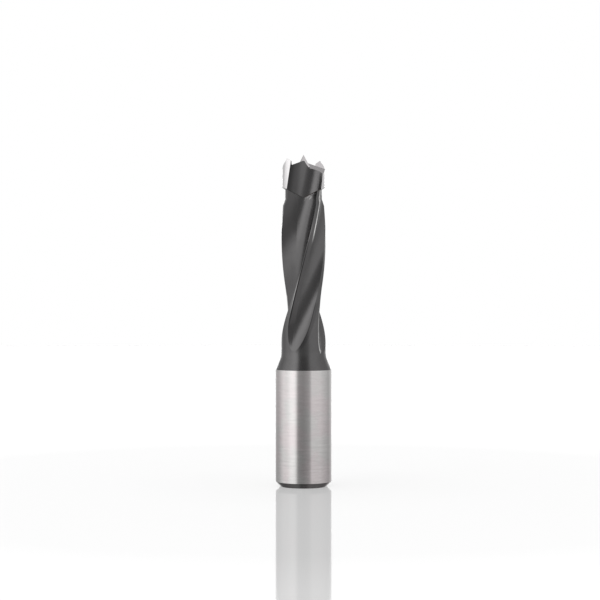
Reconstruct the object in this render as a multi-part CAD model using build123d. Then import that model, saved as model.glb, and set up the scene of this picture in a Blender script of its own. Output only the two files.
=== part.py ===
from build123d import *

import os
from math import cos, radians, sin, tan

# Carbide-tipped dowel drill for a boring machine, right-hand, for blind holes.
# It stands on the end of its shank: the origin is the centre of that end face,
# and +Z runs up the axis to the centre point. Sizes are in millimetres, angles in degrees.

# Sizes marked on the bit or set by the machine's chuck
CUT_D = 8.0
LIP_Z = 57.5
SHANK_D = 10.0
SHANK_L = 20.0

# Shank and its hidden details
END_CHAMFER = 0.9
FLAT_TO_AXIS = 4.3
THREAD_D = 5.0
THREAD_L = 10.0
TAP_DRILL_D = 4.2
TAP_DRILL_L = 12.5
COUNTERSINK = 0.25
DRILL_POINT = 118.0

# Cone and fluted body
BODY_D = 7.92
COAT_STEP = 0.04
CONE_HALF_ANGLE = 21.2
CONE_FILLET = 3.2
TAPER_Z = 46.0
TAPER_TOP_D, TAPER_TOP_Z = 7.44, 50.3
NECK_D, NECK_Z = 6.6, 51.5
LEAD = 92.4
EDGE_ANGLE_AT_BASE = 7.0

# Main flutes, which carry the chips, in the section across the axis
RAKE_TILT = 2.2
RAKE_ARC_R, RAKE_ARC_TURN = 9.6, 16.5
BOTTOM_ARC_R, BOTTOM_ARC_TURN = 3.1, 65.0
HEEL_ARC_R, HEEL_ARC_TURN = 12.0, 10.0
MAIN_LIFT_TURN = 37.0
MAIN_DEPTH = 2.9

# Shallow flutes behind the main ones: depths under the land, places as shares of the width
BACK_LEADING_EDGE = 106.1
BACK_WIDTH = 60.9
BACK_STRIP_END, BACK_FLOOR_MIDDLE = 0.23, 0.66
BACK_TOP_DEPTHS, BACK_TOP_Z = (0.36, 0.39, 0.8), 47.0
BACK_LOW_DEPTHS, BACK_LOW_Z = (0.05, 0.77, 0.95), 38.0

# Run-outs: the grinding wheel leaves each flute between these heights
RUN_OUT_END_Z = 24.1
MAIN_RUN_OUT_Z = 35.1
BACK_RUN_OUT_Z = 29.9
MAIN_LIFT_POWER = 1.35
BACK_LIFT_POWER = 1.3
BACK_SHIFT_POWER = 2.0
BACK_FRONT_SHIFT = 29.0
BACK_REAR_SHIFT = 16.0

# Sections of a helical cut
RUN_OUT_PITCH = 0.7
HELIX_PITCH = 3.0
OVERCUT = 0.05

# Carbide head
HEAD_LEAD = 125.0
HEAD_EDGE_AHEAD = 2.8
POINT_Z = 59.5
POINT_BASE_Z = 57.2
POINT_HALF_ANGLE = 21.5
POINT_TURN = 20.0
LIP_CORNER_Z = 57.32
LIP_FALL = 15.1
LIP_RELIEF = 15.6
BACK_RELIEF = 31.5
BACK_RELIEF_TURN = 126.0
BACK_RELIEF_AXIS_Z = 57.64
GASH_TO_AXIS = 0.3
GASH_LEAN = 29.5
MARGIN_TURN = 17.0
RELIEVED_R = 3.85
RELIEF_END = 90.0
SPUR_Z = 58.6
SPUR_TURN = 12.0
SPUR_FRONT_SLOPE = 28.0
SPUR_BACK_SLOPE = 36.0
SPUR_FACE_R = 3.45
SPUR_FACE_Z = 57.3
SPUR_FACE_LEAN = 20.0

# V-shaped seat and its solder
SEAT_Z = 51.65
SEAT_SLOPE = 25.4
SOLDER = 0.1

# Room that the cutting tools need outside the work
CLEAR_R = 5.4
CLEAR_TOP = 61.0
BLOCK = 20.0

SHANK_TOP = END_CHAMFER + SHANK_L
CUT_R = CUT_D / 2
BODY_R = BODY_D / 2
SHANK_R = SHANK_D / 2


def polar(radius, angle):
    """A point of the section at a radius and an angle from the leading edge."""
    return (radius * cos(radians(angle)), radius * sin(radians(angle)))


def edge_angle(z):
    """Where the body's first leading edge has turned to at height z, from +X towards +Y."""
    return EDGE_ANGLE_AT_BASE + 360 / LEAD * z


def head_edge_angle(z):
    """The same for the head, whose flutes are ground a little steeper."""
    return edge_angle(LIP_Z) + HEAD_EDGE_AHEAD + 360 / HEAD_LEAD * (z - LIP_Z)


def run_out_share(z, start_z):
    """How far the wheel has left its flute at height z: 0 in the flute, 1 at its end."""
    return max(0.0, (start_z - z) / (start_z - RUN_OUT_END_Z))


def below(plane):
    """A block that fills the space under a plane."""
    return plane * Pos(0, 0, -BLOCK / 2) * Box(BLOCK, BLOCK, BLOCK)


def both_sides(solid):
    """The solid and its twin on the other side of the axis."""
    return [solid, Rot(0, 0, 180) * solid]


def main_flute_profile(z):
    """Near-radial rake face, round bottom and long heel wall, closed outside the body."""
    inward = Vector(-cos(radians(RAKE_TILT)), sin(radians(RAKE_TILT)))
    corner = Vector(BODY_R, 0)
    entry = Line(corner - inward * (CLEAR_R - BODY_R), corner)
    rake = JernArc(entry @ 1, inward, RAKE_ARC_R, -RAKE_ARC_TURN)
    bottom = JernArc(rake @ 1, rake % 1, BOTTOM_ARC_R, -BOTTOM_ARC_TURN)
    heel = JernArc(bottom @ 1, bottom % 1, HEEL_ARC_R, -HEEL_ARC_TURN)
    outside = ThreePointArc(heel @ 1, polar(CLEAR_R, MAIN_LIFT_TURN), entry @ 0)
    lift = (MAIN_DEPTH + OVERCUT) * run_out_share(z, MAIN_RUN_OUT_Z) ** MAIN_LIFT_POWER
    return Pos(*polar(lift, MAIN_LIFT_TURN)) * make_face([entry, rake, bottom, heel, outside])


def back_flute_profile(z):
    """Small step down from the land, a narrow strip and a dish; lower down the dish is all."""
    low = min(1.0, max(0.0, (BACK_TOP_Z - z) / (BACK_TOP_Z - BACK_LOW_Z)))
    depths = [top + (deep - top) * low for top, deep in zip(BACK_TOP_DEPTHS, BACK_LOW_DEPTHS)]
    left = run_out_share(z, BACK_RUN_OUT_Z) ** BACK_SHIFT_POWER
    front = BACK_FRONT_SHIFT * left
    width = BACK_WIDTH - BACK_REAR_SHIFT * left - front

    def point(depth, place):
        radius = BODY_R - depth * (1 - left) ** BACK_LIFT_POWER + OVERCUT * left
        return polar(radius, front + place * width)

    step = Line(polar(CLEAR_R, front), point(depths[0], 0))
    strip = Line(step @ 1, point(depths[1], BACK_STRIP_END))
    dish = ThreePointArc(strip @ 1, point(depths[2], BACK_FLOOR_MIDDLE), point(0, 1))
    leave = Line(dish @ 1, (dish @ 1) + (dish % 1) * (CLEAR_R - BODY_R) / 2)
    outside = ThreePointArc(leave @ 1, polar(CLEAR_R, front + width / 2), step @ 0)
    return make_face([step, strip, dish, leave, outside])


def relief_profile(z):
    """The ring that is ground off the head behind each margin, alike at every height."""
    middle = (MARGIN_TURN + RELIEF_END) / 2
    wall = Line(polar(CLEAR_R, -MARGIN_TURN), polar(RELIEVED_R, -MARGIN_TURN))
    floor = ThreePointArc(wall @ 1, polar(RELIEVED_R, -middle), polar(RELIEVED_R, -RELIEF_END))
    leave = Line(floor @ 1, polar(CLEAR_R, -RELIEF_END))
    outside = ThreePointArc(leave @ 1, polar(CLEAR_R, -middle), wall @ 0)
    return make_face([wall, floor, leave, outside])


def heights(low, high, pitch):
    """Evenly spaced section heights from low to high, about a pitch apart."""
    count = max(2, round((high - low) / pitch))
    return [low + (high - low) * i / count for i in range(count + 1)]


def helical_pair(profile, angle_at, levels):
    """Two cuts half a turn apart, each lofted through its profile at every level."""
    sections = [Pos(0, 0, z) * Rot(0, 0, angle_at(z)) * profile(z) for z in levels]
    return both_sides(loft(sections))


def body_flutes(profile, angle_at, run_out_z):
    """A pair of helical flutes with curved run-outs above the cone."""
    run_out = heights(RUN_OUT_END_Z, run_out_z, RUN_OUT_PITCH)
    helix = heights(run_out_z, CLEAR_TOP, HELIX_PITCH)[1:]
    return helical_pair(profile, angle_at, run_out + helix)


def main_flutes():
    """The two deep flutes that carry the chips."""
    return body_flutes(main_flute_profile, edge_angle, MAIN_RUN_OUT_Z)


def back_flutes():
    """The two shallow flutes behind the lands."""

    def angle_at(z):
        return edge_angle(z) + BACK_LEADING_EDGE

    return body_flutes(back_flute_profile, angle_at, BACK_RUN_OUT_Z)


def turned_blank():
    """Shank, cone, body and ground-down neck as one turned bar."""
    cone_r = SHANK_R - COAT_STEP
    cone_top = SHANK_TOP + (cone_r - BODY_R) / tan(radians(CONE_HALF_ANGLE))
    outline = Polyline(
        (0, 0),
        (SHANK_R - END_CHAMFER, 0),
        (SHANK_R, END_CHAMFER),
        (SHANK_R, SHANK_TOP),
        (cone_r, SHANK_TOP),
        (BODY_R, cone_top),
        (BODY_R, TAPER_Z),
        (TAPER_TOP_D / 2, TAPER_TOP_Z),
        (NECK_D / 2, NECK_Z),
        (NECK_D / 2, LIP_Z),
        (0, LIP_Z),
        close=True,
    )
    half = make_face(outline)
    corner = half.vertices().sort_by_distance((BODY_R, cone_top))[0]
    half = fillet(corner, CONE_FILLET)
    return revolve(Plane.XZ * half, Axis.Z)


def clamping_flat():
    """The flat for the chuck's screw, on the back, from the shank's end to a shoulder at its top."""
    from_below = (Align.CENTER, Align.MIN, Align.MAX)
    return Pos(0, FLAT_TO_AXIS, SHANK_TOP) * Box(BLOCK, BLOCK, 2 * BLOCK, align=from_below)


def screw_hole():
    """Tapped hole for a length-setting screw, as wide as its thread."""
    thread_r, drill_r = THREAD_D / 2, TAP_DRILL_D / 2
    tip = TAP_DRILL_L + drill_r / tan(radians(DRILL_POINT / 2))
    outline = Polyline(
        (0, 0),
        (thread_r + COUNTERSINK, 0),
        (thread_r, COUNTERSINK),
        (thread_r, THREAD_L),
        (drill_r, THREAD_L),
        (drill_r, TAP_DRILL_L),
        (0, tip),
        close=True,
    )
    return revolve(Plane.XZ * make_face(outline), Axis.Z)


def above_seat(rise):
    """Everything above the V of the seat, raised by a distance square to its faces."""
    slope = tan(radians(SEAT_SLOPE))
    low = SEAT_Z + rise / cos(radians(SEAT_SLOPE))
    side = BLOCK / 2
    outline = Polyline(
        (0, low),
        (side, low + side * slope),
        (side, CLEAR_TOP),
        (-side, CLEAR_TOP),
        (-side, low + side * slope),
        close=True,
    )
    return extrude(Plane.XZ * make_face(outline), side, both=True)


def lip_plane():
    """The ground face behind one lip: it falls outwards along the lip and back behind it."""
    normal = (tan(radians(LIP_FALL)), -tan(radians(LIP_RELIEF)), 1)
    return Plane((CUT_R, 0, LIP_CORNER_Z), z_dir=normal)


def back_relief_plane():
    """The steeper face that the lip's own face ends at, ground on the wing's back."""
    slope = tan(radians(BACK_RELIEF))
    away = Vector(*polar(slope, -BACK_RELIEF_TURN))
    return Plane((0, 0, BACK_RELIEF_AXIS_Z), z_dir=away + Vector(0, 0, 1))


def lip_block():
    """Everything under both faces of one wing."""
    return below(lip_plane()) & below(back_relief_plane())


def gash_plane():
    """The steep wall beside the centre where one wing's front stands above the other's back."""
    lean = radians(GASH_LEAN)
    return Plane((GASH_TO_AXIS, 0, LIP_Z), z_dir=(-cos(lean), 0, sin(lean)))


def spur_block():
    """The space that one spur fills: inner face, front slope and back slope meet at its peak."""
    peak = Vector(*polar(CUT_R, -SPUR_TURN), SPUR_Z)
    outward = Vector(*polar(1, -SPUR_TURN))
    forward = Vector(*polar(1, 90 - SPUR_TURN))
    lean = radians(SPUR_FACE_LEAN)
    face_point = outward * SPUR_FACE_R + Vector(0, 0, SPUR_FACE_Z)
    inner = Plane(face_point, z_dir=outward * -cos(lean) + Vector(0, 0, sin(lean)))
    front = Plane(peak, z_dir=forward * tan(radians(SPUR_FRONT_SLOPE)) + Vector(0, 0, 1))
    back = Plane(peak, z_dir=forward * -tan(radians(SPUR_BACK_SLOPE)) + Vector(0, 0, 1))
    return below(inner) & below(front) & below(back)


def centre_point():
    """Four-sided point that finds the hole's centre."""
    height = POINT_Z - POINT_BASE_Z
    width = 2 * height * tan(radians(POINT_HALF_ANGLE))
    base = Pos(0, 0, POINT_BASE_Z) * Rot(0, 0, POINT_TURN) * Rectangle(width, width)
    return loft([base, Vertex(0, 0, POINT_Z)])


def head_top():
    """What is left of the head by grinding its lips, spurs and centre point."""
    turn = Rot(0, 0, head_edge_angle(LIP_Z))
    lip, twin_lip = both_sides(turn * lip_block())
    wings = both_sides(turn * (lip_block() & below(gash_plane())))
    spurs = both_sides(turn * spur_block())
    shape = (lip & twin_lip) + centre_point()
    for solid in wings + spurs:
        shape += solid
    return shape


def carbide_head():
    """The cutting head: a fluted cylinder with ground margins, on its V-shaped foot."""
    upright = (Align.CENTER, Align.CENTER, Align.MIN)
    head = Pos(0, 0, NECK_Z) * Cylinder(CUT_R, CLEAR_TOP - NECK_Z, align=upright)
    levels = heights(TAPER_TOP_Z, CLEAR_TOP, HELIX_PITCH)
    flutes = helical_pair(main_flute_profile, head_edge_angle, levels)
    reliefs = helical_pair(relief_profile, head_edge_angle, levels)
    for cut in flutes + reliefs:
        head -= cut
    head &= above_seat(SOLDER)
    return head & head_top()


def fluted_bar():
    """The turned bar with all four flutes ground into it."""
    bar = turned_blank()
    for cut in main_flutes() + back_flutes():
        bar -= cut
    return bar


def steel_body(bar):
    """The bar under the seat, with the clamping flat and the tapped hole."""
    body = bar - above_seat(0)
    body -= clamping_flat()
    return body - screw_hole()


def braze_joint(bar):
    """The solder layer between the seat and the head, flush with the neck and flutes."""
    return (bar & above_seat(0)) - above_seat(SOLDER)


def main():
    """Build the three pieces and write one STEP file for each."""
    bar = fluted_bar()
    parts = {
        "steel_body": steel_body(bar),
        "carbide_head": carbide_head(),
        "braze_joint": braze_joint(bar),
    }
    os.makedirs("parts", exist_ok=True)
    for name, solid in parts.items():
        export_step(solid, f"parts/{name}.step")


main()
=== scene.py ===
"""Finishes a dowel drill bit: ground steel, black coat, ground carbide, solder, thread, studio."""

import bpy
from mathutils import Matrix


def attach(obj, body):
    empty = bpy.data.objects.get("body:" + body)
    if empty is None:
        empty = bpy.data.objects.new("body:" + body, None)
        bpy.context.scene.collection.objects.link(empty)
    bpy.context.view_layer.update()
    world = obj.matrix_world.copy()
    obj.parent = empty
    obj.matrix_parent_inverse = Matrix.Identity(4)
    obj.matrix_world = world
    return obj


bl_info = {
    "name": "Dowel drill bit",
    "version": (1, 0, 0),
    "blender": (4, 5, 0),
    "location": "3D View > Sidebar > Drill bit",
    "description": "Finishes and studio for a carbide-tipped dowel drill bit",
    "category": "Object",
}

from math import cos, pi, radians, tan
from typing import NamedTuple

import bmesh
import bpy
from mathutils import Vector

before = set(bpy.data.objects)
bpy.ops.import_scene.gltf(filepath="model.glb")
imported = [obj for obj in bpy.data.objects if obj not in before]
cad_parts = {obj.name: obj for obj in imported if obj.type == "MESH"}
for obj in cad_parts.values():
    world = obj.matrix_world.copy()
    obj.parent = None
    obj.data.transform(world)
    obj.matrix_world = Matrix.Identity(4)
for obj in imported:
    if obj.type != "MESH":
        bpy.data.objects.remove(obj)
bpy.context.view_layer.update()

MM = 0.001
DEGREES = 180 / pi
HALF_TURN = 180

# The bit's own sizes, in millimetres and degrees, as its pieces were ground
COAT_Z = 20.9
BODY_R = 3.96
RELIEVED_R = 3.85
LEAD = 92.4
EDGE_ANGLE_AT_BASE = 7.0
BACK_STEP_AT = 106.1
BACK_RIDGE_AT = 120.1
HEAD_LEAD = 125.0
HEAD_EDGE_AT = 53.8
LIP_Z = 57.5
SEAT_Z = 51.65
SEAT_SLOPE = 25.4
THREAD_R = 2.5
THREAD_L = 10.0

# How the thread's ridge is cut: in millimetres, in pitches and in steps a turn
THREAD_START = 0.35
THREAD_BURIED = 0.02
RIDGE_HALF_WIDTH = 0.46
CREST_HALF_WIDTH = 0.06
STEPS_A_TURN = 40

# Where the flutes' edges go as they run out above the cone: degrees round the bit, by height
MAIN_RUN_OUT = {
    24.1: 39.7,
    24.5: 35.3,
    25: 31.7,
    25.7: 27.5,
    26.4: 23.7,
    27.4: 19.4,
    28.8: 14,
    30.5: 8.9,
    32.7: 3.6,
}
BACK_RUN_OUT = {
    24.5: 150,
    24.7: 152,
    25: 154.5,
    25.4: 156.7,
    26: 159.5,
    26.8: 162.2,
    27.8: 164.7,
    28.8: 166.4,
    30: 167,
}

# How bright the line beside the main flutes' run-outs is, by height: bare steel and painted
# highlight
RUN_OUT_BARE_AND_HIGHLIGHT = {23.8: 0, 24.1: 1, 24.6: 1, 25.5: 0.75, 27: 0.5, 29: 0.4, 31: 0.3, 32.7: 0}

# The bright flank of a main flute's leading edge, bare steel and painted highlight: its depth
# under the body's surface, its rise above the coat's lower end, how far it faces out and round the
# bit, and its degrees round it
FLANK_DEPTHS = (0.2, 0.06)
FLANK_RISES = (3.2, 3.6)
FLANK_OUTWARD = (0.95, 0.99)
FLANK_SIDEWAYS = (0.05, 0.15)
FLANK_TURN = (1.5, 70.0)
FLANK_LOW_PART = (24.4, 34.0)
SOFT_FLANK = 1.5

# How bright the flanks, their low parts and the lands are with bare steel and painted highlight,
# and how bare the smears are, from 0 to 1
FLANK_BARE_AND_HIGHLIGHT = 0.12
LOW_FLANK_BARE_AND_HIGHLIGHT = 0.75
LAND_BARE_AND_HIGHLIGHT = 0.17
SMEAR_WEAR = 0.15

# Waves a millimetre of the marks on each surface, along x, y and z where they differ
SHANK_RINGS = (0.75, 0.75, 27.0)
SHANK_STREAKS = (0.384, 0.384, 3.12)
SHANK_CLOUDS = 0.22
COAT_GRAIN = 6.0
COAT_MOTTLE = 0.7
WEAR_BREAKS = 2.2
SMEAR_STREAKS = (1.3, 1.3, 3.6)
HEAD_LINES = (6.0, 6.0, 42.0)
HEAD_GRAIN = 7.0
HEAD_MOTTLE = 0.9
SOLDER_PITS = 9.0

# How deep those marks are, in millimetres
STEEL_RELIEF = 0.0012
HEAD_RELIEF = 0.001
SOLDER_RELIEF = 0.01

# The lines beside the run-outs, as first and last degree from their edge and soft sides: bare
# steel and painted highlight beside the main flutes, painted shadow beside the back flutes with a
# wider painted shade, between two heights
BARE_AND_HIGHLIGHT_LINE = (-2.2, 0.6, 0.7)
PAINTED_SHADOW_LINE = (0.0, 1.1, 0.9)
WIDE_SHADE = (0.0, 7.0, 6.0)
SHADE_HEIGHTS = (25.5, 32.0, 2.0)

# How much of the coat's brightness the painted shade takes away in a corner, and the wide shade's
# share of that
CORNER_SHADE = 0.65
WIDE_SHADE_SHARE = 0.35

# The solder's smears: millimetres under the seam with soft sides, and the squared distances from
# the axis over which they end
SMEAR_UNDER = (0.05, 0.6, 0.2)
SMEAR_REACH = (6.5, 8.5)

# The head's margins and cutting faces, by how far they face outwards and upwards
MARGIN_OUTWARD = (0.9, 0.96)
FACE_UPWARD = (0.18, 0.21)

# The head's rake faces: all but these degrees from the lip, with soft sides, and how much of the
# coat's brightness painted shade takes away there, near the axis and more towards the rim
OFF_RAKE = (22.0, 172.0, 18.0)
RAKE_SHADE = 0.28
RIM_RAKE_SHADE = 0.25
RIM_RAKE_RADII = (2.4, 3.7)

# Where the photograph was taken from
PHOTO_SIZE = 600
PIXELS_PER_MM = 5.569
AXIS_PIXEL_X = 303.55
HORIZON_MM = 33.4
CAMERA_DISTANCE_MM = 295.0
SENSOR_MM = 36.0

# The floor sheet's radius in metres, its mirrored share and roughness, and the share of its own
# colour that comes from below
FLOOR_RADIUS = 0.924
FLOOR_GLOSS = 0.15
FLOOR_ROUGHNESS = 0.06
FLOOR_GLOW_SHARE = 0.6

# How much brighter the sheet gets away from the bit, by millimetres: the darker sheet near the bit
# is painted shade
FLOOR_TONE = {0: 0.83, 9: 0.83, 34: 0.86, 80: 0.87, 108: 0.98, 924: 0.93}

BLACK = (0.0, 0.0, 0.0, 1.0)
WHITE = (1.0, 1.0, 1.0, 1.0)

# Brightness of the studio's walls around the bit, by degrees from the camera's side to its right
AROUND = {
    -180: 0.95,
    -165: 0.62,
    -134: 0.52,
    -116: 0.65,
    -102: 0.87,
    -90: 1.05,
    -78: 1.08,
    -66: 1.2,
    -56: 1.38,
    -46: 1.42,
    -37: 1.36,
    -31: 1.05,
    -23: 0.45,
    -15: 0.36,
    0: 0.34,
    12: 0.4,
    20: 0.46,
    27: 0.58,
    34: 0.88,
    72: 0.85,
    90: 0.72,
    108: 0.62,
    123: 0.52,
    140: 0.62,
    165: 0.8,
    180: 0.95,
}

# How that changes with height, by degrees above the horizon, at the sides and in front
SIDE_FALL = {
    -90: 0.3,
    -65: 0.32,
    -45: 0.6,
    -25: 0.65,
    -8: 0.72,
    -6: 0.8,
    -2.6: 1,
    44: 1,
    58: 0.28,
    90: 0.6,
}
FRONT_FALL = {
    -90: 0.42,
    -65: 0.45,
    -45: 0.7,
    -25: 1.15,
    -10: 1.15,
    -6.5: 0.55,
    -2.6: 1,
    6: 1,
    42: 0.6,
    90: 0.8,
}

# The camera's side, and its soft borders with the others, in degrees
FRONT = (-22.0, 22.0)
SOFT_FRONT = 12.0

# The shaded floor behind the bit, in degrees round and up, and how much light it loses
BEHIND_TURN = (115.0, 145.0)
BELOW_RISE = (-32.0, -14.0)
BEHIND_SHADE = 0.75

# The softbox overhead and the backdrop behind the bit, in degrees
TOP_RISE = (74.0, 82.0)
BACKDROP_TURN = (163.0, 168.0)
BACKDROP_RISE = (0.8, 12.0)
SOFT_BACKDROP = 0.8


class Mark(NamedTuple):
    """A line along the flutes, from its first to its last degree round from the main flute's
    edge and from its low to its high end, on surfaces outside a radius, with soft sides."""

    first: float
    last: float
    low: float
    high: float
    outside: float
    soft: float


# The ridge and the land carry bare steel and painted highlight; the corner under the step carries
# painted shade
RIDGE = Mark(BACK_RIDGE_AT - 2.0, BACK_RIDGE_AT + 3.2, 46.0, 51.6, 3.1, 0.8)
CORNER = Mark(BACK_STEP_AT + 0.3, BACK_STEP_AT + 1.7, 31.0, 46.0, 3.1, 0.8)
LAND = Mark(BACK_STEP_AT - 1.7, BACK_STEP_AT - 0.3, 33.0, 45.0, 3.7, 0.6)
SOFT_ENDS = 3.0


class Value:
    """One socket of a shader, so that sums on it can be written as Python."""

    def __init__(self, shader, socket):
        self.shader = shader
        self.socket = socket

    def maths(self, operation, *others):
        settings = {"operation": operation}
        return self.shader.node("ShaderNodeMath", settings, dict(enumerate((self, *others))))

    def __add__(self, other):
        return self.maths("ADD", other)

    def __radd__(self, other):
        return self.maths("ADD", other)

    def __sub__(self, other):
        return self.maths("SUBTRACT", other)

    def __rsub__(self, other):
        return (self * -1).maths("ADD", other)

    def __mul__(self, other):
        return self.maths("MULTIPLY", other)

    def __rmul__(self, other):
        return self.maths("MULTIPLY", other)

    def __truediv__(self, other):
        return self.maths("DIVIDE", other)

    def __abs__(self):
        return self.maths("ABSOLUTE")

    def larger(self, other):
        return self.maths("MAXIMUM", other)

    def step(self, low, high):
        """0 up to low, 1 from high, and smooth between them."""
        settings = {"interpolation_type": "SMOOTHSTEP"}
        return self.shader.node("ShaderNodeMapRange", settings, {0: self, 1: low, 2: high})

    def band(self, low, high, soft):
        """1 between low and high, falling to 0 over a soft width outside them."""
        return self.step(low - soft, low) * (1 - self.step(high, high + soft))

    def swing(self, width):
        """A value from 0 to 1 made to swing evenly about 0, over a width in all."""
        return (self - 0.5) * width


class Shader:
    """Adds nodes to one node tree."""

    def __init__(self, tree):
        self.tree = tree
        tree.nodes.clear()

    def node(self, kind, settings=None, inputs=None, output=0):
        """A new node with its settings, then its inputs, given back as one of its outputs."""
        made = self.tree.nodes.new(kind)
        for name, value in (settings or {}).items():
            if name == "stops":
                fill_ramp(made.color_ramp, value)
            else:
                setattr(made, name, value)
        for key, value in (inputs or {}).items():
            if isinstance(value, Value):
                self.tree.links.new(value.socket, made.inputs[key])
            else:
                made.inputs[key].default_value = value
        return Value(self, made.outputs[output]) if made.outputs else None

    def graph(self, value, levels):
        """Straight lines between the levels, which a dictionary gives at rising values."""
        low, high = min(levels), max(levels)
        share = self.node("ShaderNodeMapRange", None, {0: value, 1: low, 2: high})
        top = max(levels.values())
        stops = [((at - low) / (high - low), level / top) for at, level in levels.items()]
        return self.node("ShaderNodeValToRGB", {"stops": stops}, {0: share}) * top

    def mix(self, factor, first, second):
        """Two colours mixed."""
        settings = {"data_type": "RGBA"}
        return self.node("ShaderNodeMix", settings, {0: factor, 6: first, 7: second}, 2)

    def darken(self, tone, colour):
        """A colour at a share of its brightness."""
        return self.mix(tone, BLACK, colour)

    def split(self, vector):
        """The x, y and z of a vector."""
        inputs = {0: vector}
        return [self.node("ShaderNodeSeparateXYZ", None, inputs, axis) for axis in range(3)]

    def place(self):
        """The point's place on the bit in millimetres, as a vector and as x, y and z."""
        metres = self.node("ShaderNodeTexCoord", output="Object")
        settings = {"operation": "SCALE"}
        point = self.node("ShaderNodeVectorMath", settings, {0: metres, "Scale": 1 / MM})
        return point, self.split(point)

    def facing(self, x, y, radius):
        """How far the surface faces away from the axis, sideways round it, and up."""
        nx, ny, nz = self.split(self.node("ShaderNodeNewGeometry", output="True Normal"))
        return (x * nx + y * ny) / radius, (x * ny - y * nx) / radius, nz

    def noise(self, point, waves, detail=3.0, roughness=0.5):
        """Soft noise from 0 to 1, with so many waves a millimetre, or so many along each axis."""
        if isinstance(waves, tuple):
            settings = {"operation": "MULTIPLY"}
            point = self.node("ShaderNodeVectorMath", settings, {0: point, 1: waves})
            waves = 1.0
        inputs = {"Vector": point, "Scale": waves, "Detail": detail, "Roughness": roughness}
        return self.node("ShaderNodeTexNoise", None, inputs)

    def bump(self, height, depth_mm):
        """A normal from a height that goes from 0 to 1 over a depth."""
        inputs = {"Height": height, "Strength": 1.0, "Distance": depth_mm * MM}
        return self.node("ShaderNodeBump", None, inputs)

    def light_path(self, output):
        """1 for one kind of ray and 0 for the others."""
        return self.node("ShaderNodeLightPath", output=output)


def fill_ramp(ramp, stops):
    """Sets a colour ramp to grey levels at places from 0 to 1."""
    for place, _ in stops[1:-1]:
        ramp.elements.new(place)
    for element, (place, level) in zip(ramp.elements, stops):
        element.position = place
        element.color = (level, level, level, 1.0)


def from_axis(x, y):
    """How far a point is from the bit's axis."""
    return (x * x + y * y).maths("SQRT")


def round_bit(x, y, z, lead, start):
    """Degrees round the bit from an edge that winds up it, from 0 to 180 on both its halves."""
    turn = y.maths("ARCTAN2", x) * DEGREES - z * (360 / lead) - start
    return (turn / HALF_TURN).maths("FRACT") * HALF_TURN


def new_material(name):
    """An empty material and its shader."""
    material = bpy.data.materials.new(name)
    material.use_nodes = True
    return material, Shader(material.node_tree)


def finish_metal(shader, **inputs):
    """Ends a material with a bare or coated metal; its sockets' names use underscores."""
    sockets = {name.replace("_", " "): value for name, value in inputs.items()}
    sockets["Metallic"] = 1.0
    surface = shader.node("ShaderNodeBsdfPrincipled", None, sockets)
    shader.node("ShaderNodeOutputMaterial", None, {"Surface": surface})


def assign(node, material):
    """Gives one of the CAD nodes its material."""
    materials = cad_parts[node].data.materials
    materials.clear()
    materials.append(material)


def rgba(colour):
    """A colour property with its alpha."""
    return (*colour, 1.0)


class SteelFinish(bpy.types.PropertyGroup):
    ground_colour: bpy.props.FloatVectorProperty(
        name="Ground steel",
        description="Reflection of the bright ground shank",
        subtype="COLOR",
        default=(0.72, 0.707, 0.7),
    )
    blush_colour: bpy.props.FloatVectorProperty(
        name="Warm steel",
        description="Reflection of the warmer patches of the ground shank",
        subtype="COLOR",
        default=(0.735, 0.68, 0.685),
    )
    # Also the colour of the painted highlights along the flutes' edges
    bare_and_highlight_colour: bpy.props.FloatVectorProperty(
        name="Bare edges",
        description="Reflection of the steel where the coat is rubbed off",
        subtype="COLOR",
        default=(0.93, 0.92, 0.91),
    )
    ground_roughness: bpy.props.FloatProperty(
        name="Ground roughness",
        description="Roughness of the shank",
        subtype="FACTOR",
        default=0.14,
        min=0,
        max=1,
    )
    coat_colour: bpy.props.FloatVectorProperty(
        name="Black coat",
        description="Reflection of the black coat on the cone and the fluted body",
        subtype="COLOR",
        default=(0.1415, 0.1385, 0.1395),
    )
    coat_roughness: bpy.props.FloatProperty(
        name="Coat roughness",
        description="Roughness of the black coat",
        subtype="FACTOR",
        default=0.24,
        min=0,
        max=1,
    )


class CarbideFinish(bpy.types.PropertyGroup):
    face_colour: bpy.props.FloatVectorProperty(
        name="Ground faces",
        description="Reflection of the ground lips, spurs and centre point",
        subtype="COLOR",
        default=(0.7, 0.675, 0.685),
    )
    margin_colour: bpy.props.FloatVectorProperty(
        name="Margins",
        description="Reflection of the polished margins",
        subtype="COLOR",
        default=(0.95, 0.93, 0.935),
    )
    ground_roughness: bpy.props.FloatProperty(
        name="Ground roughness",
        description="Roughness of the cutting faces",
        subtype="FACTOR",
        default=0.2,
        min=0,
        max=1,
    )
    solder_colour: bpy.props.FloatVectorProperty(
        name="Solder",
        description="Reflection of the bare half of the solder line, darkened by heat",
        subtype="COLOR",
        default=(0.045, 0.03, 0.026),
    )
    coated_solder: bpy.props.FloatVectorProperty(
        name="Coated solder",
        description="Reflection of the half of the solder line that the coat covers",
        subtype="COLOR",
        default=(0.125, 0.1215, 0.1225),
    )


class ThreadSizes(bpy.types.PropertyGroup):
    pitch: bpy.props.FloatProperty(
        name="Pitch", description="Pitch of the screw thread", subtype="DISTANCE", default=0.8 * MM
    )
    crest_radius: bpy.props.FloatProperty(
        name="Crest radius",
        description="Inner radius of the screw thread",
        subtype="DISTANCE",
        default=2.1 * MM,
    )


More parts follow.
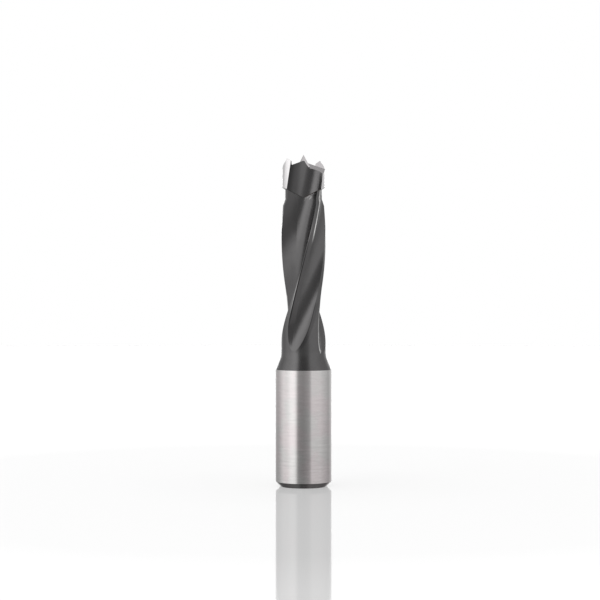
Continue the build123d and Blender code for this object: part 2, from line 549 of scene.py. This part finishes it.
class StudioLight(bpy.types.PropertyGroup):
    level: bpy.props.FloatProperty(
        name="Level", description="Brightness of the studio's walls", default=1.0, min=0
    )
    top: bpy.props.FloatProperty(
        name="Top", description="Brightness of the overhead softbox", default=3.0, min=0
    )
    behind: bpy.props.FloatProperty(
        name="Behind",
        description="Brightness of the backdrop as glossy surfaces mirror it",
        default=3.6,
        min=0,
    )
    floor: bpy.props.FloatProperty(
        name="Floor",
        description="Reflection of the floor sheet",
        subtype="FACTOR",
        default=0.96,
        min=0,
        max=1,
    )
    floor_glow: bpy.props.FloatProperty(
        name="Floor glow",
        description="Brightness of the light that comes through the sheet from below",
        default=0.85,
        min=0,
    )


def marked(mark, turn, z, radius):
    """1 on a mark and 0 away from it."""
    across = turn.band(mark.first, mark.last, mark.soft)
    along = z.band(mark.low, mark.high, SOFT_ENDS)
    return across * along * radius.step(mark.outside, mark.outside + 0.1)


def bare_and_highlit_edges(shader, point, x, y, z, turn, radius):
    """Where the coat is rubbed off, and painted highlights drawn as bare steel along the same
    edges: the main flutes' leading edges and the lines beside their run-outs, the land beside each
    back flute and the ridge in it."""
    outward, sideways, _ = shader.facing(x, y, radius)
    near = radius.step(*[BODY_R - depth for depth in FLANK_DEPTHS])
    near = near * z.step(*[COAT_Z + rise for rise in FLANK_RISES])
    steep = (1 - outward.step(*FLANK_OUTWARD)) * sideways.step(*FLANK_SIDEWAYS)
    flank = near * steep * turn.band(*FLANK_TURN, SOFT_FLANK)
    flank = flank * (FLANK_BARE_AND_HIGHLIGHT + LOW_FLANK_BARE_AND_HIGHLIGHT * z.band(*FLANK_LOW_PART, SOFT_FLANK))
    beside = (turn - shader.graph(z, MAIN_RUN_OUT)).band(*BARE_AND_HIGHLIGHT_LINE)
    run_out = beside * shader.graph(z, RUN_OUT_BARE_AND_HIGHLIGHT)
    ridge = marked(RIDGE, turn, z, radius)
    land = marked(LAND, turn, z, radius) * LAND_BARE_AND_HIGHLIGHT
    broken = shader.noise(point, WEAR_BREAKS, roughness=0.6).step(0.34, 0.62)
    return flank.larger(ridge).larger(land).larger(run_out) * (0.65 + 0.35 * broken)


def painted_corner_shade(shader, z, turn, radius):
    """Painted shade: the corner under each back flute's step, and the shadow line and the wider
    shade beside its run-out.
    """
    beyond = turn - shader.graph(z, BACK_RUN_OUT)
    shade = beyond.band(*PAINTED_SHADOW_LINE).larger(WIDE_SHADE_SHARE * beyond.band(*WIDE_SHADE))
    return marked(CORNER, turn, z, radius).larger(shade * z.band(*SHADE_HEIGHTS))


def seam_smear(shader, x, y, z):
    """Thin smears of solder on the steel just under one half of the seam."""
    slope = radians(SEAT_SLOPE)
    under = (abs(x) * tan(slope) - z + SEAT_Z) * cos(slope)
    side = (x * y * -1).step(-0.2, 0.6) * (1 - (x * x + y * y).step(*SMEAR_REACH))
    along = shader.node("ShaderNodeCombineXYZ", None, {0: x, 1: y, 2: under})
    streaks = shader.noise(along, SMEAR_STREAKS, roughness=0.6).step(0.5, 0.6)
    return under.band(*SMEAR_UNDER) * side * streaks


def steel_material(finish):
    """Ground steel below the coat's edge and the black coat above it."""
    material, shader = new_material("steel")
    point, (x, y, z) = shader.place()
    radius = from_axis(x, y)
    turn = round_bit(x, y, z, LEAD, EDGE_ANGLE_AT_BASE)
    coated = z.step(COAT_Z - 0.02, COAT_Z)

    rings = shader.noise(point, SHANK_RINGS, detail=4.0, roughness=0.7)
    streaks = shader.noise(point, SHANK_STREAKS, detail=4.0, roughness=0.7)
    cloud = shader.noise(point, SHANK_CLOUDS, detail=2.0)
    ground_tone = 0.92 + rings.swing(0.1) + streaks.swing(0.26) + cloud.swing(0.08)
    warmth = cloud.step(0.4, 0.62)
    ground = shader.mix(warmth, rgba(finish.ground_colour), rgba(finish.blush_colour))
    ground = shader.darken(ground_tone, ground)

    grain = shader.noise(point, COAT_GRAIN, roughness=0.6)
    mottle = shader.noise(point, COAT_MOTTLE, detail=4.0, roughness=0.6)
    # Painted shade in the corners under the back flutes' steps and beside their run-outs
    corners = painted_corner_shade(shader, z, turn, radius)
    coat_tone = (0.98 + mottle.swing(0.2)) * (1 - CORNER_SHADE * corners)
    coat = shader.darken(coat_tone, rgba(finish.coat_colour))
    # Bare steel on rubbed edges with painted highlights along them, and the solder's smears
    bare_and_highlight = bare_and_highlit_edges(shader, point, x, y, z, turn, radius)
    bare_and_highlight = bare_and_highlight.larger(seam_smear(shader, x, y, z) * SMEAR_WEAR)
    coat = shader.mix(bare_and_highlight, coat, rgba(finish.bare_and_highlight_colour))

    ground_rough = finish.ground_roughness + streaks.swing(0.12)
    coat_rough = finish.coat_roughness + grain.swing(0.12) + mottle.swing(0.06)
    relief = rings * (1 - coated) + 0.5 * grain * coated
    finish_metal(
        shader,
        Base_Color=shader.mix(coated, ground, coat),
        Roughness=ground_rough + coated * (coat_rough - ground_rough),
        Normal=shader.bump(relief, STEEL_RELIEF),
    )
    return material


def carbide_material(steel, finish):
    """Bright ground carbide on the cutting faces and margins, the black coat in the flutes."""
    material, shader = new_material("carbide")
    point, (x, y, z) = shader.place()
    radius = from_axis(x, y)
    turn = round_bit(x, y, z - LIP_Z, HEAD_LEAD, HEAD_EDGE_AT)
    outward, _, up = shader.facing(x, y, radius)
    margin = outward.step(*MARGIN_OUTWARD) * radius.step(RELIEVED_R - 0.1, RELIEVED_R - 0.05)
    bare = margin.larger(up.step(*FACE_UPWARD))

    lines = shader.noise(point, HEAD_LINES, detail=4.0, roughness=0.7)
    ground = shader.mix(margin, rgba(finish.face_colour), rgba(finish.margin_colour))
    ground = shader.darken(0.97 + lines.swing(0.14), ground)

    grain = shader.noise(point, HEAD_GRAIN, roughness=0.6)
    mottle = shader.noise(point, HEAD_MOTTLE, detail=4.0, roughness=0.6)
    # Painted shade on the rake faces beside the lips, deeper towards the rim
    rake = 1 - turn.band(*OFF_RAKE)
    rake_shade = rake * (RAKE_SHADE + RIM_RAKE_SHADE * radius.step(*RIM_RAKE_RADII))
    coat_tone = (1.0 + mottle.swing(0.2)) * (1 - rake_shade)
    coat = shader.darken(coat_tone, rgba(steel.coat_colour))

    ground_rough = finish.ground_roughness + lines.swing(0.1)
    coat_rough = steel.coat_roughness + grain.swing(0.12)
    finish_metal(
        shader,
        Base_Color=shader.mix(bare, coat, ground),
        Roughness=coat_rough + bare * (ground_rough - coat_rough),
        Normal=shader.bump(lines * bare + 0.5 * grain * (1 - bare), HEAD_RELIEF),
    )
    return material


def solder_material(finish):
    """Dull solder, dark brown on one side of the seam and coated on the other, with small pits."""
    material, shader = new_material("solder")
    point, (x, y, _) = shader.place()
    side = (x * y * -1).step(-0.4, 0.8)
    pits = shader.noise(point, SOLDER_PITS, detail=4.0, roughness=0.7)
    colour = shader.mix(side, rgba(finish.coated_solder), rgba(finish.solder_colour))
    finish_metal(
        shader,
        Base_Color=shader.darken(1.0 + pits.swing(0.5), colour),
        Roughness=0.425 + pits.swing(0.25),
        Normal=shader.bump(pits, SOLDER_RELIEF),
    )
    return material


def thread_mesh(sizes):
    """One V-shaped ridge wound up the wall of the screw hole, its foot just inside the wall."""
    bm = bmesh.new()
    wall = (THREAD_R + THREAD_BURIED) * MM
    crest = sizes.crest_radius
    half = sizes.pitch * RIDGE_HALF_WIDTH
    flat = sizes.pitch * CREST_HALF_WIDTH
    start = THREAD_START * MM + half
    foot, top = (wall, start - half), (wall, start + half)
    corners = [foot, (crest, start - flat), (crest, start + flat), top]
    profile = [bm.verts.new((radius, 0.0, height)) for radius, height in corners]
    edges = [bm.edges.new(pair) for pair in zip(profile, profile[1:] + profile[:1])]
    turns = (THREAD_L * MM - 2 * start) / sizes.pitch
    steps = round(turns * STEPS_A_TURN)
    bmesh.ops.spin(
        bm,
        geom=profile + edges,
        cent=(0, 0, 0),
        axis=(0, 0, 1),
        dvec=(0, 0, turns * sizes.pitch / steps),
        angle=turns * 2 * pi,
        steps=steps,
        use_merge=False,
    )
    ends = [edge for edge in bm.edges if edge.is_boundary]
    bmesh.ops.holes_fill(bm, edges=ends, sides=len(corners))
    bmesh.ops.recalc_face_normals(bm, faces=bm.faces)
    return bm


def new_object(name, bm, material):
    """An object at the origin with a finished mesh and its material."""
    mesh = bpy.data.meshes.new(name)
    bm.to_mesh(mesh)
    bm.free()
    mesh.materials.append(material)
    made = bpy.data.objects.new(name, mesh)
    bpy.context.scene.collection.objects.link(made)
    return made


def studio_world(light):
    """White to the camera; softboxes at the sides and above, a dim camera side, for all else."""
    world = bpy.data.worlds.new("studio")
    world.use_nodes = True
    bpy.context.scene.world = world
    shader = Shader(world.node_tree)
    x, y, z = shader.split(shader.node("ShaderNodeTexCoord", output="Generated"))
    turn = x.maths("ARCTAN2", y * -1) * DEGREES
    rise = z.maths("ARCSINE") * DEGREES

    front = turn.band(*FRONT, SOFT_FRONT)
    side_fall = shader.graph(rise, SIDE_FALL)
    front_fall = shader.graph(rise, FRONT_FALL)
    fall = side_fall + front * (front_fall - side_fall)
    studio = shader.graph(turn, AROUND) * fall * light.level
    low_behind = abs(turn).step(*BEHIND_TURN) * (1 - rise.step(*BELOW_RISE))
    studio = studio * (1 - BEHIND_SHADE * low_behind)
    studio = studio.larger(rise.step(*TOP_RISE) * light.top)

    backdrop = abs(turn).step(*BACKDROP_TURN) * rise.band(*BACKDROP_RISE, SOFT_BACKDROP)
    studio = studio.larger(backdrop * shader.light_path("Is Glossy Ray") * light.behind)

    seen = shader.light_path("Is Camera Ray").larger(shader.light_path("Is Transmission Ray"))
    strength = studio + seen * (1 - studio)
    background = shader.node("ShaderNodeBackground", None, {"Color": WHITE, "Strength": strength})
    shader.node("ShaderNodeOutputWorld", None, {"Surface": background})


def floor_material(light):
    """White acrylic, lit from above and below, that mirrors the bit faintly."""
    material, shader = new_material("floor")
    _, (x, y, _) = shader.place()
    # The sheet's colour is darker near the bit: painted shade around it
    colour = shader.darken(shader.graph(from_axis(x, y), FLOOR_TONE), rgba([light.floor] * 3))
    sheet = shader.node("ShaderNodeBsdfDiffuse", None, {"Color": colour})
    glow = {"Color": colour, "Strength": light.floor_glow}
    glow = shader.node("ShaderNodeEmission", None, glow)
    share = shader.light_path("Is Camera Ray") * FLOOR_GLOW_SHARE
    sheet = shader.node("ShaderNodeMixShader", None, {0: share, 1: sheet, 2: glow})
    gloss = shader.node("ShaderNodeBsdfGlossy", None, {"Roughness": FLOOR_ROUGHNESS})
    surface = shader.node("ShaderNodeMixShader", None, {0: FLOOR_GLOSS, 1: sheet, 2: gloss})
    shader.node("ShaderNodeOutputMaterial", None, {"Surface": surface})
    return material


def studio_floor(light):
    """A wide round sheet, which the bit itself doesn't mirror."""
    bm = bmesh.new()
    bmesh.ops.create_circle(bm, cap_ends=True, segments=128, radius=FLOOR_RADIUS)
    floor = new_object("floor", bm, floor_material(light))
    floor.visible_glossy = False


def photo_camera():
    """A level camera in front of the bit, where the photograph was taken from."""
    camera = bpy.data.cameras.new("camera")
    camera.sensor_width = SENSOR_MM
    camera.lens = SENSOR_MM * CAMERA_DISTANCE_MM * PIXELS_PER_MM / PHOTO_SIZE
    camera.clip_start = 0.01
    camera.clip_end = 20.0
    aside = (PHOTO_SIZE / 2 - AXIS_PIXEL_X) / PIXELS_PER_MM
    holder = bpy.data.objects.new("camera", camera)
    holder.location = Vector((aside, -CAMERA_DISTANCE_MM, HORIZON_MM)) * MM
    holder.rotation_euler = (pi / 2, 0, 0)
    bpy.context.scene.collection.objects.link(holder)
    bpy.context.scene.camera = holder


class DRILL_OT_steel(bpy.types.Operator):
    """Finish the shank, the cone and the fluted body"""

    bl_idname = "drill.steel"
    bl_label = "Steel body"

    def execute(self, context):
        assign("steel_body", steel_material(context.scene.drill_steel))
        return {"FINISHED"}


class DRILL_OT_head(bpy.types.Operator):
    """Finish the carbide head and its solder line"""

    bl_idname = "drill.head"
    bl_label = "Carbide head"

    def execute(self, context):
        scene = context.scene
        assign("carbide_head", carbide_material(scene.drill_steel, scene.drill_carbide))
        assign("braze_joint", solder_material(scene.drill_carbide))
        return {"FINISHED"}


class DRILL_OT_thread(bpy.types.Operator):
    """Cut the screw thread in the shank's end"""

    bl_idname = "drill.thread"
    bl_label = "Screw thread"

    def execute(self, context):
        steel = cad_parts["steel_body"].data.materials[0]
        thread = new_object("screw_thread", thread_mesh(context.scene.drill_thread), steel)
        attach(thread, "root")
        return {"FINISHED"}


class DRILL_OT_stage(bpy.types.Operator):
    """Set the studio: world, floor and camera"""

    bl_idname = "drill.stage"
    bl_label = "Studio"

    def execute(self, context):
        studio_world(context.scene.drill_light)
        studio_floor(context.scene.drill_light)
        photo_camera()
        context.scene.view_settings.view_transform = "Standard"
        return {"FINISHED"}


class DRILL_PT_panel(bpy.types.Panel):
    bl_idname = "DRILL_PT_panel"
    bl_label = "Dowel drill bit"
    bl_space_type = "VIEW_3D"
    bl_region_type = "UI"
    bl_category = "Drill bit"

    def draw(self, context):
        for name in PROPERTIES:
            group = getattr(context.scene, name)
            for key in group.bl_rna.properties.keys():
                if key not in {"rna_type", "name"}:
                    self.layout.prop(group, key)
        for operator in OPERATORS:
            self.layout.operator(operator.bl_idname)


PROPERTIES = {
    "drill_steel": SteelFinish,
    "drill_carbide": CarbideFinish,
    "drill_thread": ThreadSizes,
    "drill_light": StudioLight,
}
OPERATORS = (DRILL_OT_steel, DRILL_OT_head, DRILL_OT_thread, DRILL_OT_stage)
CLASSES = (*PROPERTIES.values(), *OPERATORS, DRILL_PT_panel)


def register():
    for group in CLASSES:
        bpy.utils.register_class(group)
    for name, group in PROPERTIES.items():
        setattr(bpy.types.Scene, name, bpy.props.PointerProperty(type=group))


def unregister():
    for name in PROPERTIES:
        delattr(bpy.types.Scene, name)
    for group in reversed(CLASSES):
        bpy.utils.unregister_class(group)


def main():
    register()
    bpy.ops.drill.steel()
    bpy.ops.drill.head()
    bpy.ops.drill.thread()
    bpy.ops.drill.stage()


if __name__ == "__main__":
    main()
